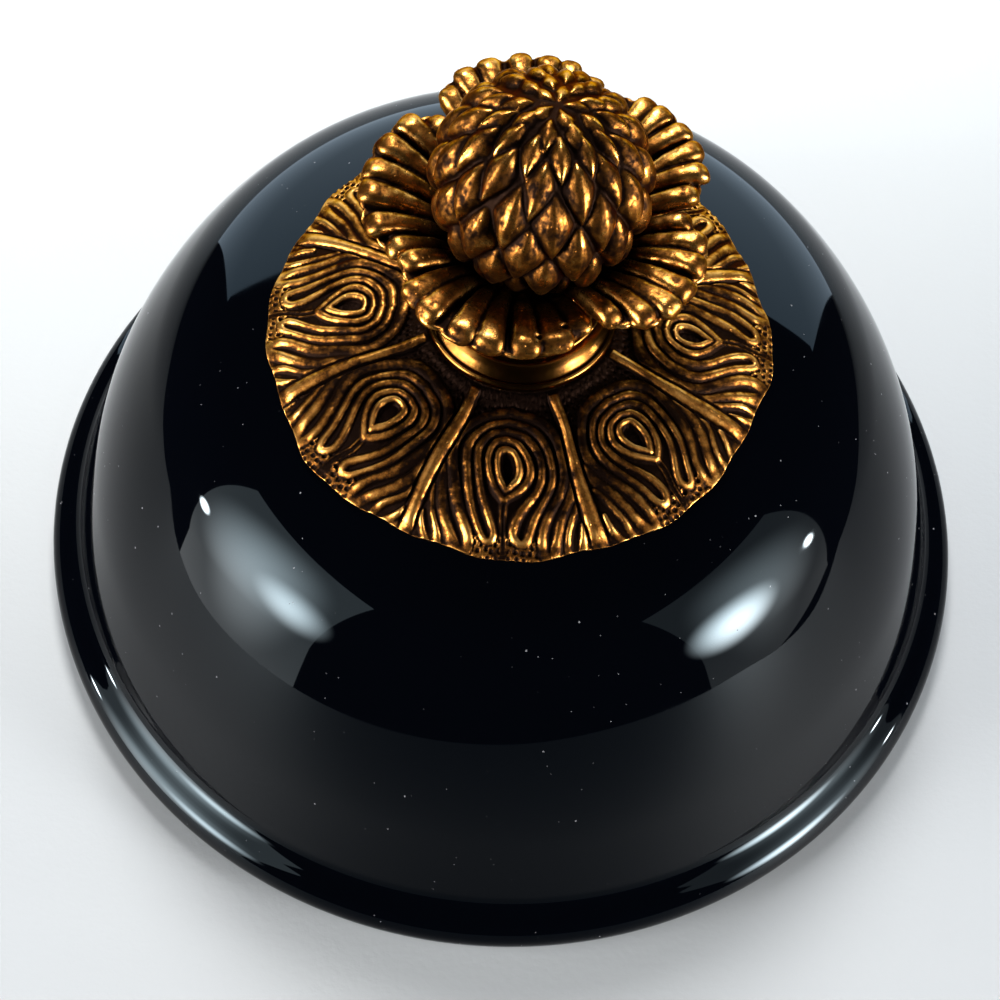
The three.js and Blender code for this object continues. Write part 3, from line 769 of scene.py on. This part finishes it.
def rosette():
    generator = np.random.default_rng(SEED)
    outline = [on_glass(radius, offset) for radius, offset in ROSETTE_UNDERSIDE]
    outline.append((ROSETTE_RADIUS - 0.1, on_glass(ROSETTE_RADIUS, 0.3)[1]))
    top = slice(len(outline), None)
    rings = np.arange(ROSETTE_RADIUS - 0.1, RELIEF_START, -ROSETTE_ROW)
    for radius in [ROSETTE_RADIUS, *rings, 12.0, ROSETTE_HOLE]:
        outline.append((radius, float(np.interp(radius, *ROSETTE_PROFILE.T))))
    patina_and_shade = np.full((ROSETTE_SEGMENTS, len(outline)), 0.7)

    def shape(radius, z, azimuth):
        scallop = 0.45 * np.cos(MOTIFS * (azimuth + math.pi / 2)) + 0.2 * np.cos(3 * MOTIFS * (azimuth + 0.1))
        scallop += 0.16 * np.sin(5 * azimuth + 1.0) + 0.12 * np.sin(13 * azimuth + 2.0)
        radius = radius * (1 + scallop / ROSETTE_RADIUS * blend_step(radius, 36, ROSETTE_RADIUS))
        reach, turn = radius[:, top], azimuth[:, top]
        relief = rosette_relief(reach, turn, generator)
        edge = blend_step(reach, ROSETTE_RADIUS - 2.3, ROSETTE_RADIUS - 0.9)  # calmer towards the edge
        relief = relief * (1 - 0.6 * edge) + 0.32 * edge
        inside = blend_step(reach, RELIEF_START, RELIEF_START + 0.6)
        pits = generator.normal(0, 0.03, relief.shape) * (relief < 0.3)
        seat = 0.75 * (1 - blend_step(reach, 15.4, 18.0))  # the ground rises to the collar
        z[:, top] += RELIEF * (np.maximum(relief, 0) * (1 - seat) + seat + pits - 1) * inside
        patina_and_shade[:, top] = 0.92 - 0.66 * np.clip(relief, 0, 1) ** 1.3 + pits
        patina_and_shade[:, top] -= 0.18 * blend_step(reach, 37.0, 39.5)
        # painted shade: darker towards the front (-Y), lighter towards the back
        patina_and_shade[:, top] += 0.06 * np.cos(turn + math.pi / 2)
        return radius, z

    piece = revolved("rosette_cast", outline, ROSETTE_SEGMENTS, shape)
    curve = hollows(piece, rounds=10, depth=0.2)
    store(piece, np.clip(patina_and_shade.ravel() + 0.7 * (curve - 0.5), 0, 1))
    gilt = antique_gilt("rosette_gilt", polish=0.26, wear=-0.07, grain=0.5)
    finish_piece(piece, gilt, "rosette")


def rosette_pad():
    generator = np.random.default_rng(SEED + 4)
    outer = extent("rosette_pad")[0]
    low = [on_glass(radius, PAD_GAP) for radius in np.linspace(CROWN_HOLE_RADIUS, outer - 0.2, 16)]
    high = [on_glass(radius, FELT_TOP) for radius in np.linspace(outer, CROWN_HOLE_RADIUS, 16)]

    def shape(radius, z, azimuth):
        frayed = generator.normal(0, 0.05, radius.shape) * (radius > outer - 1)
        return radius + frayed, z + generator.normal(0, 0.02, radius.shape)

    piece = revolved("rosette_pad_felt", low + high, 160, shape)
    finish_piece(piece, black_felt(), "rosette_pad")


# ---- collar and cup


def collar():
    base, z, top = extent("collar")
    face = smooth_curve([(base - 0.2, z + 0.95), (base - 0.6, z + 1.2), (base - 0.95, z + 1.15),
                         (base - 1.35, z + 1.5), (base - 2.1, z + 2.5), (base - 2.75, z + 4.2),
                         (base - 2.35, top - 0.9)], per_span=8)
    foot = z - 0.25
    outline = [(COLLAR_BORE, foot), (base - 0.35, foot), (base - 0.05, foot + 0.15), (base, z + 0.35),
               (base - 0.05, z + 0.7)]
    outline += face.tolist()
    outline += [(base - 2.2, top - 0.5), (base - 2.3, top - 0.15), (base - 2.6, top), (COLLAR_BORE, top)]
    phase = np.random.default_rng(SEED).uniform(0, 6, 2)

    def shape(radius, height, azimuth):
        dent = 0.05 * np.sin(3 * azimuth + phase[0]) + 0.03 * np.sin(7 * azimuth + phase[1])
        return radius + dent * (radius > 2 * COLLAR_BORE), height

    piece = revolved("collar_turned", outline, 192, shape)
    store_hollows(piece)
    finish_piece(piece, bright_gilt(), "collar")


def petal_middle(radius):
    """Height and slope of the petals' middle line."""
    slope = np.arcsin(np.clip(math.sin(PETAL_ROOT_SLOPE) - (radius - PETAL_ROOT_RADIUS) / PETAL_ARC, -1, 1))
    return PETAL_ROOT_Z + PETAL_ARC * (np.cos(slope) - math.cos(PETAL_ROOT_SLOPE)), slope


def calyx_cup():
    belly, z, top = extent("calyx_cup")
    outline = [(CUP_BORE, z), (CUP_FOOT_RADIUS - 0.3, z), (CUP_FOOT_RADIUS, z + 0.3)]
    steps = 44
    for step in range(1, steps):
        swell = (belly - CUP_FOOT_RADIUS) * math.sin(math.pi / 2 * step / steps)
        outline.append((CUP_FOOT_RADIUS + swell, z + 0.3 + (top - z - 0.6) * step / steps))
    outline += [(belly, top - 0.3), (belly - 0.3, top)]
    for radius in np.linspace(belly - 0.6, PETAL_ROOT_RADIUS, 8):
        height, slope = petal_middle(radius)
        outline.append((radius, height - CUP_BELOW_PETALS / math.cos(slope)))
    outline.append((CUP_BORE, outline[-1][1]))
    phase = np.random.default_rng(SEED + 1).uniform(0, 6, 3)

    def shape(radius, height, azimuth):
        wall = (radius > CUP_FOOT_RADIUS - 0.8) & (height > z + 0.2) & (height < top - 0.2)
        lumps = 0.08 * np.sin(3 * azimuth + height * 0.3 + phase[0])
        lumps += 0.04 * np.sin(7 * azimuth - height * 0.5 + phase[1])
        lumps += 0.015 * np.sin(19 * azimuth + height * 0.9 + phase[2])
        for degrees, pit_z, size in CUP_PITS:
            gap = (azimuth - math.radians(degrees % 360) + math.pi) % (2 * math.pi) - math.pi
            distance = np.hypot(gap * radius, height - pit_z)
            lumps -= CUP_PIT_DEPTH * (1 - blend_step(distance, size * 0.5, size))
        return radius + np.where(wall, lumps, 0.0), height

    piece = revolved("calyx_cup_cast", outline, 288, shape)
    store_hollows(piece)
    finish_piece(piece, antique_gilt("cup_gilt", polish=0.1, wear=0.12), "calyx_cup")


# ---- petals


def petal_frame(radius, azimuth, lift):
    """Points, side and up directions on the petal at a lift above its middle line."""
    z, slope = petal_middle(radius)
    out = np.stack([np.cos(azimuth), np.sin(azimuth), np.zeros_like(azimuth)], axis=-1)
    side = np.stack([-np.sin(azimuth), np.cos(azimuth), np.zeros_like(azimuth)], axis=-1)
    vertical = np.array([0.0, 0.0, 1.0])
    up = vertical * np.cos(slope)[..., None] - out * np.sin(slope)[..., None]
    point = out * radius[..., None] + vertical * z[..., None] + up * np.asarray(lift)[..., None]
    return point, side, up


def petal_finger(number, count, flat_count, centre, half_angle, tip_radius, corner_drop, generator):
    """One rounded lobe of a petal, as vertices and faces."""
    fan = (2 * number + 1) / count - 1
    reach = tip_radius - corner_drop * abs(fan) ** 3 + generator.uniform(-0.35, 0.25)
    part = np.sin(np.linspace(0, math.pi / 2, 28))
    radius = PETAL_ROOT_RADIUS + FINGER_START + (reach - PETAL_ROOT_RADIUS - FINGER_START) * part
    sway = 0.02 * np.sin(part * 3 + generator.uniform(0, 6))
    spread = half_angle * 0.985 * fan * (1 - 0.04 * (1 - part))
    azimuth = centre + spread + sway + generator.uniform(-0.01, 0.01)
    near_tip = np.clip((radius - reach + FINGER_TIP) / FINGER_TIP, 0, 1)
    end = FINGER_ENDS + (1 - FINGER_ENDS) * np.sqrt(1 - near_tip**2.6)
    half_width = half_angle / count * radius * generator.uniform(0.89, 0.95) * end
    half_height = np.interp(part, [0, 0.4, 0.75, 1], [0.9, 1.7, 1.8, 1.5]) * end
    if number >= count - flat_count:
        half_width *= FLAT_FINGER[0]
        half_height *= FLAT_FINGER[1]
    lift = 0.1 * part - 0.6 * near_tip**2 - PETAL_TILT * fan
    point, side, up = petal_frame(radius, azimuth, lift)
    return limb(point, side, up, half_width, half_height, sides=24, power=0.78)


def petal_sheet(count, centre, half_angle, tip_radius, corner_drop):
    """The thin leaf under the fingers, as vertices and faces."""
    columns, rows = 8 * count + 1, 18
    fan = np.linspace(-1, 1, columns)[None, :].repeat(rows, axis=0)
    part = np.linspace(0, 1, rows)[:, None].repeat(columns, axis=1)
    finger = np.abs(np.cos((fan + 1) * 0.5 * count * math.pi - math.pi / 2))
    reach = tip_radius - corner_drop * np.abs(fan) ** 3 - 0.8 * (1 - finger) ** 1.5
    radius = PETAL_ROOT_RADIUS + (reach - PETAL_ROOT_RADIUS) * part
    azimuth = centre + fan * half_angle * 0.975
    sheets = [petal_frame(radius, azimuth, offset - PETAL_TILT * fan)[0] for offset in PETAL_SKINS]
    size = columns * rows
    faces = []
    for row in range(rows - 1):
        for column in range(columns - 1):
            a = row * columns + column
            faces.append((a, a + columns, a + columns + 1, a + 1))
            faces.append((size + a, size + a + 1, size + a + columns + 1, size + a + columns))
    rim = [row * columns for row in range(rows)]
    rim += [(rows - 1) * columns + column for column in range(1, columns)]
    rim += [row * columns + columns - 1 for row in range(rows - 2, -1, -1)]
    rim += [column for column in range(columns - 2, 0, -1)]
    faces += [(a, size + a, size + b, b) for a, b in zip(rim, rim[1:] + rim[:1])]
    return np.concatenate([sheet.reshape(-1, 3) for sheet in sheets]), faces


def press_pits(piece):
    """Casting pits in the top of a petal."""
    points = positions(piece)
    depth = np.zeros(len(points))
    for degrees, radius, size in PETAL_PITS:
        spot = (radius * math.cos(math.radians(degrees)), radius * math.sin(math.radians(degrees)))
        distance = np.hypot(points[:, 0] - spot[0], points[:, 1] - spot[1])
        pit = 1 - blend_step(distance, size * 0.5, size)
        depth += PETAL_PIT_DEPTH * pit * (normals(piece)[:, 2] > 0)
    place(piece, points - normals(piece) * depth[:, None])


def petals():
    generator = np.random.default_rng(SEED + 2)
    material = antique_gilt("petal_gilt", polish=0.18, wear=0.05)
    for node, (degrees, half_degrees, tip_radius, corner_drop, count, flat_count) in PETALS.items():
        shape = (math.radians(degrees), math.radians(half_degrees), tip_radius, corner_drop)
        parts = [petal_sheet(count, *shape)]
        for number in range(count):
            parts.append(petal_finger(number, count, flat_count, *shape, generator))
        piece = joined(node + "_cast", parts)
        cast(piece)
        roughen(piece, PETAL_CHASING, generator)
        press_pits(piece)
        flat = positions(piece)[:, :2]
        radius = np.hypot(*flat.T)
        outward = np.einsum("ij,ij->i", normals(piece)[:, :2], flat) / radius
        root = 1 - blend_step(radius, 12, 17)
        # painted shade on the faces turned outward, the fingers' rounded ends; the petals are also darker
        # near the bud's base
        store_patina_and_shade(piece, 0.25 * root + 0.16 * np.clip(outward, 0, 1))
        finish_piece(piece, material, node)


# ---- bud


def bud_point(elevation, azimuth, lift):
    """Points and outward directions on the bud's egg shape."""
    radius, half = BUD_CORE_RADIUS + lift, BUD_CORE_HALF + lift
    flat = radius * np.cos(elevation)
    z = BUD_CENTRE + half * np.sin(elevation)
    point = np.stack([flat * np.cos(azimuth), flat * np.sin(azimuth), z], axis=-1)
    normal = (point - (0, 0, BUD_CENTRE)) / np.stack([radius**2, radius**2, half**2], axis=-1)
    return point, normal / np.linalg.norm(normal, axis=-1)[..., None]


def scale_columns(tier):
    """How many scales a tier holds: fewer in the small rings near the top."""
    ring = math.cos(math.radians(SCALE_TIERS[tier]))
    return round(SCALE_COLUMNS * min(1, ring / FULL_RING))


def bud_scale(tier, column, generator):
    """One leaf-shaped scale, pointed at both ends and fattest just below its middle."""
    low, middle, high = (math.radians(value) for value in SCALE_TIERS[tier - 1:tier + 2])
    pitch = 2 * math.pi / scale_columns(tier)
    along = np.linspace(-1, 1, 27)
    above = middle + along * (high - middle) * SCALE_OVERLAP
    angle = np.where(along < 0, middle + along * (middle - low), above)
    angle = np.minimum(angle + generator.uniform(-0.02, 0.02), math.radians(89.5))
    uneven = 0.05 / (0.3 + math.cos(middle))
    drift = uneven * (generator.uniform(-1, 1) + generator.uniform(-1, 1) * along)
    azimuth = (column + 0.5 * (tier % 2)) * pitch + drift
    leaf = 1 - np.abs(along) ** 1.35
    ring = (BUD_CORE_RADIUS + 1) * np.cos(angle)
    half_width = 0.5 * pitch * ring * leaf * generator.uniform(0.79, 0.9) + 0.05
    size = math.cos(middle) ** 0.45
    keel = np.clip(1 - np.abs(along + 0.1) ** 2.4, 0, 1) ** 0.6
    half_height = SCALE_HEIGHT * size * keel + 0.05
    point, normal = bud_point(angle, azimuth, -0.75 - 0.35 * along * size)
    forward = np.gradient(point, axis=0)
    side = np.cross(normal, forward)
    side /= np.linalg.norm(side, axis=1)[:, None]
    return limb(point, side, normal, half_width, half_height, sides=16, power=1.12)


def bud_core():
    """The plain egg under the scales, as vertices and faces."""
    elevations = np.radians(np.linspace(BUD_CORE_FOOT, 90, 40))
    outline = [(0.0, float(BUD_CENTRE + BUD_CORE_HALF * math.sin(elevations[0])))]
    for angle in elevations[:-1]:
        outline.append((BUD_CORE_RADIUS * math.cos(angle), BUD_CENTRE + BUD_CORE_HALF * math.sin(angle)))
    outline.append((0.0, BUD_CENTRE + BUD_CORE_HALF))
    body = revolved("bud_core", outline, 64)
    core = positions(body), [tuple(polygon.vertices) for polygon in body.data.polygons]
    bpy.data.objects.remove(body)
    return core


def bud():
    generator = np.random.default_rng(SEED + 3)
    parts = [bud_core()]
    for tier in range(1, len(SCALE_TIERS) - 1):
        for column in range(scale_columns(tier)):
            parts.append(bud_scale(tier, column, generator))
    piece = joined("bud_cast", parts)
    cast(piece)
    roughen(piece, BUD_CHASING, generator)
    centre, seat = (0, 0, BUD_CENTRE), (0, 0, BUD_LEAN_Z)
    back = np.array(Matrix.Rotation(-BUD_TIP_BACK, 3, "X"))
    lean = np.array(Matrix.Rotation(BUD_LEAN, 3, "Y"))
    points = (positions(piece) - centre) @ back.T + centre
    place(piece, (points - seat) @ lean.T + seat)
    # darker towards the bud's bottom
    store_patina_and_shade(piece, 0.2 * (1 - blend_step(positions(piece)[:, 2], BUD_LEAN_Z, BUD_LEAN_Z + 7)))
    finish_piece(piece, antique_gilt("bud_gilt", polish=0.17, wear=-0.08), "bud")


# ---- rod and fastening inside the dome


def thread(radius, z, azimuth):
    """Radius of a screw thread at each height and azimuth."""
    turn = (z / THREAD_PITCH - azimuth / (2 * math.pi)) % 1
    return radius - THREAD_DEPTH * np.abs(2 * turn - 1) * 2


def tie_rod():
    _, low, high = extent("tie_rod")
    thread_top = extent("inner_washer")[1] + THREAD_PAST_WASHER
    outline = [(0.0, low), (ROD_RADIUS - 0.9, low), (ROD_RADIUS - 0.5, low + 0.3)]
    outline += [(ROD_RADIUS, z) for z in np.arange(low + 0.7, thread_top, THREAD_PITCH / 8)]
    outline += [(ROD_RADIUS, z) for z in np.arange(thread_top + 1, high - 0.6, 2.0)]
    outline += [(ROD_RADIUS, high - 0.5), (ROD_RADIUS - 0.5, high), (0.0, high)]

    def shape(radius, z, azimuth):
        cut = (radius > ROD_RADIUS - 0.01) & (z < thread_top)
        return np.where(cut, thread(radius, z, azimuth), radius), z

    piece = revolved("tie_rod_threaded", outline, 48, shape)
    points = positions(piece)
    points[:, 0] += np.maximum(points[:, 2] - BUD_LEAN_Z, 0) * math.tan(BUD_LEAN)
    place(piece, points)
    finish_piece(piece, BRASS, "tie_rod")


def inner_pad():
    generator = np.random.default_rng(SEED + 5)
    outer, z, _ = extent("inner_pad")
    top = [on_glass(radius, -GLASS_WALL - PAD_GAP) for radius in np.linspace(outer - 0.3, PAD_BORE, 12)]
    side = [(outer, z + 0.35), (outer + 0.05, z + 0.8), (outer, top[0][1] - 0.3)]
    bottom = [(radius, z) for radius in np.linspace(PAD_BORE, outer - 0.35, 12)]

    def shape(radius, height, azimuth):
        cut = 0.12 * np.sin(2 * azimuth + 1) + 0.05 * np.sin(9 * azimuth)
        return radius + cut * (radius > outer - 1), height + generator.normal(0, 0.012, radius.shape)

    piece = revolved("inner_pad_leather", bottom + side + top, 144, shape)
    finish_piece(piece, brown_leather(), "inner_pad")


def inner_washer():
    outer, z, top = extent("inner_washer")
    bore = WASHER_BORE
    outline = [(bore + 0.3, z), *[(radius, z) for radius in np.linspace(5, outer - 0.7, 6)]]
    outline += [(outer - 0.35, z + 0.08), (outer - 0.08, z + 0.3), (outer, z + 0.6), (outer, top - 0.3)]
    outline += [(outer - 0.3, top), (bore + 0.3, top), (bore, top - 0.3), (bore, z + 0.3)]

    def shape(radius, height, azimuth):
        return radius, height + 0.04 * np.sin(2 * azimuth) * (radius / outer) * (height < z + 0.5)

    piece = revolved("inner_washer_turned", outline, 96, shape)
    finish_piece(piece, BRASS, "inner_washer")


def nut():
    flat, z, top = extent("nut", axis=1)
    corner = flat / math.cos(math.pi / 6)
    rings = 8
    outline = [(NUT_BORE, z + 0.5), (NUT_BORE + 0.5, z), (flat - 0.4, z)]
    outline += [(corner, z + 0.1 + 1.1 * step / rings) for step in range(rings)]
    outline += [(corner, top - 1.2 + 1.1 * step / rings) for step in range(rings + 1)]
    outline += [(flat - 0.4, top), (NUT_BORE + 0.5, top), (NUT_BORE, top - 0.5)]

    def shape(radius, height, azimuth):
        side = (azimuth + math.pi / 6) % (math.pi / 3) - math.pi / 6
        hexagon = flat / np.cos(side)
        chamfer = flat - 0.3 + np.minimum(height - z, top - height) * math.tan(math.radians(60))
        limit = np.minimum(hexagon, chamfer)
        return np.where(radius > flat - 0.01, np.minimum(radius, limit), radius), height

    piece = revolved("nut_milled", outline, 144, shape)
    turned = np.array(Matrix.Rotation(math.pi / 6, 3, "Z"))
    place(piece, positions(piece) @ turned.T)
    finish_piece(piece, BRASS, "nut")


# ---- floor and light


def floor():
    outline = smooth_curve(TABLE_REACH, per_span=8)
    turns = np.radians(outline[:-1, 0])
    reaches = outline[:-1, 1]
    vertices, faces = [], []
    for share in np.linspace(TABLE_MIDDLE, 1, TABLE_RINGS):
        for turn, reach in zip(turns, reaches):
            far = share * reach / MM
            vertices.append((far * math.sin(turn), far * math.cos(turn), -TABLE_GAP))
    columns = len(turns)
    for row in range(0, (TABLE_RINGS - 1) * columns, columns):
        for column in range(columns):
            after = (column + 1) % columns
            faces.append((row + column, row + after, row + columns + after, row + columns + column))
    piece = mesh_from("table_top", vertices, faces)
    piece.data.materials.append(pale_floor())


def area_light(name, spot, aim, width, height, radiance, colour, edge=None):
    """A rectangular light that the camera doesn't see. It fades to edge, if that is given."""
    data = bpy.data.lights.new(name, "AREA")
    data.shape = "RECTANGLE"
    data.size = width
    data.size_y = height
    data.energy = radiance * math.pi * width * height
    data.color = colour
    if edge is not None:
        fade_edges(data, edge)
    light = bpy.data.objects.new(name, data)
    turn = (Vector(aim) - Vector(spot)).to_track_quat("-Z", "Y").to_matrix().to_4x4()
    light.matrix_world = Matrix.Translation(spot) @ turn
    light.visible_camera = False
    bpy.context.scene.collection.objects.link(light)


def fade_edges(data, edge):
    """Bright in the middle and dim at the edges, as cloth in front of a lamp is."""
    data.use_nodes = True
    tree = data.node_tree
    place_on_light = tree.nodes.new("ShaderNodeNewGeometry").outputs["Parametric"]
    distance = tree.nodes.new("ShaderNodeVectorMath")
    distance.operation = "DISTANCE"
    distance.inputs[1].default_value = (0.5, 0.5, 0.0)
    fade = tree.nodes.new("ShaderNodeMapRange")
    fade.interpolation_type = "SMOOTHSTEP"
    for key, value in (("From Min", 0.0), ("From Max", 0.5), ("To Min", LAMP_CENTRE), ("To Max", edge)):
        fade.inputs[key].default_value = value
    tree.links.new(place_on_light, distance.inputs[0])
    tree.links.new(distance.outputs["Value"], fade.inputs["Value"])
    tree.links.new(fade.outputs["Result"], tree.nodes["Emission"].inputs["Strength"])


def around(azimuth, elevation, distance):
    """A place at an azimuth from +Y towards +X and an elevation from the lid, in degrees."""
    turn, rise = math.radians(azimuth), math.radians(elevation)
    return (distance * math.sin(turn), distance * math.cos(turn), MIDDLE[2] + distance * math.tan(rise))


def lights():
    for name, (azimuth, elevation, distance, width, height, radiance, edge) in SOFT_LIGHTS.items():
        area_light(name, around(azimuth, elevation, distance), MIDDLE, width, height, radiance, WHITE, edge)
    area_light("backdrop", around(0, 14, 0.45), MIDDLE, width=0.94, height=0.48, radiance=7, colour=COOL)
    area_light("top_back", around(-8, 58, 0.5), BEHIND, width=0.3, height=0.3, radiance=116, colour=WHITE)
    world = bpy.data.worlds.new("studio")
    world.use_nodes = True
    world.node_tree.nodes["Background"].inputs["Color"].default_value = WORLD
    bpy.context.scene.world = world
    bpy.context.scene.view_settings.view_transform = "Standard"


# ---- assembly

BRASS = dull_brass()

make_camera()
lights()
floor()
lid_shell()
rosette()
rosette_pad()
collar()
calyx_cup()
petals()
bud()
tie_rod()
inner_pad()
inner_washer()
nut()
